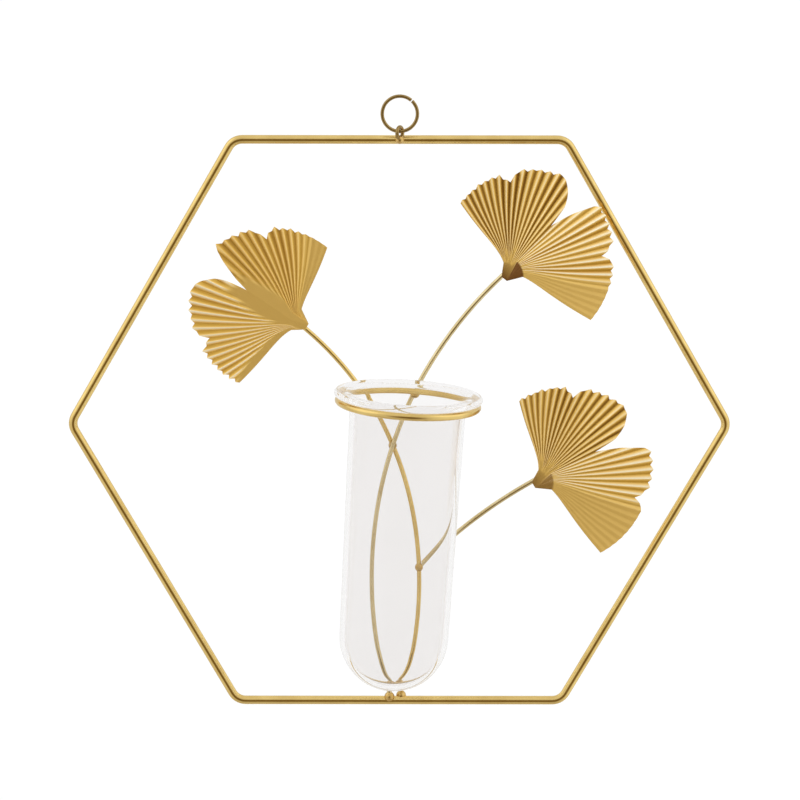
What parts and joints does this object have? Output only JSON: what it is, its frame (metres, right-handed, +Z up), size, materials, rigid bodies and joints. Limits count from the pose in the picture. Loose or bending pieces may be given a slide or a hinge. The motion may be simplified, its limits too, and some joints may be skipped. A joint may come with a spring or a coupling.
{
  "type": "hanging wall vase",
  "caption": "Hexagonal gold wire wall frame with pleated ginkgo leaves on curved stems and a lift-out glass tube vase, hung from a ring.",
  "frame": {"origin": "centre of the hanging ring, where the nail or hook goes through", "axes": "+X to the viewer's right, +Y towards the wall, +Z up"},
  "size_m": [0.3018, 0.0727, 0.2823],
  "materials": {
    "gold_wire": "bright gold plating on drawn wire",
    "gold_sheet": "satin gold plating on pleated sheet",
    "braze": "plated braze bead",
    "clear_glass": "clear polished"
  },
  "bodies": {
    "ring": {"hanging_ring": "gold_wire"},
    "frame": {"hexagon_frame": "gold_wire", "eyelet": "gold_wire", "stem_left": "gold_wire", "stem_upper": "gold_wire", "stem_lower": "gold_wire", "collar_ring": "gold_wire", "leaf_left": "gold_sheet", "leaf_upper": "gold_sheet", "leaf_lower": "gold_sheet", "braze_eyelet": "braze", "braze_foot_left": "braze", "braze_foot_right": "braze", "braze_crossing": "braze", "braze_branch": "braze", "braze_collar": "braze"},
    "vase": {"glass_vase": "clear_glass"}
  },
  "joints": [
    {"name": "frame_swing", "type": "hinge", "parent": "ring", "child": "frame", "pos_m": [0, 0, -0.0079], "axis": [1, 0, 0], "range_deg": [-170, 0]},
    {"name": "vase_lift", "type": "slide", "parent": "frame", "child": "vase", "axis": [0.0575, -0.0244, 0.998], "range_m": [0, 0.14]}
  ]
}
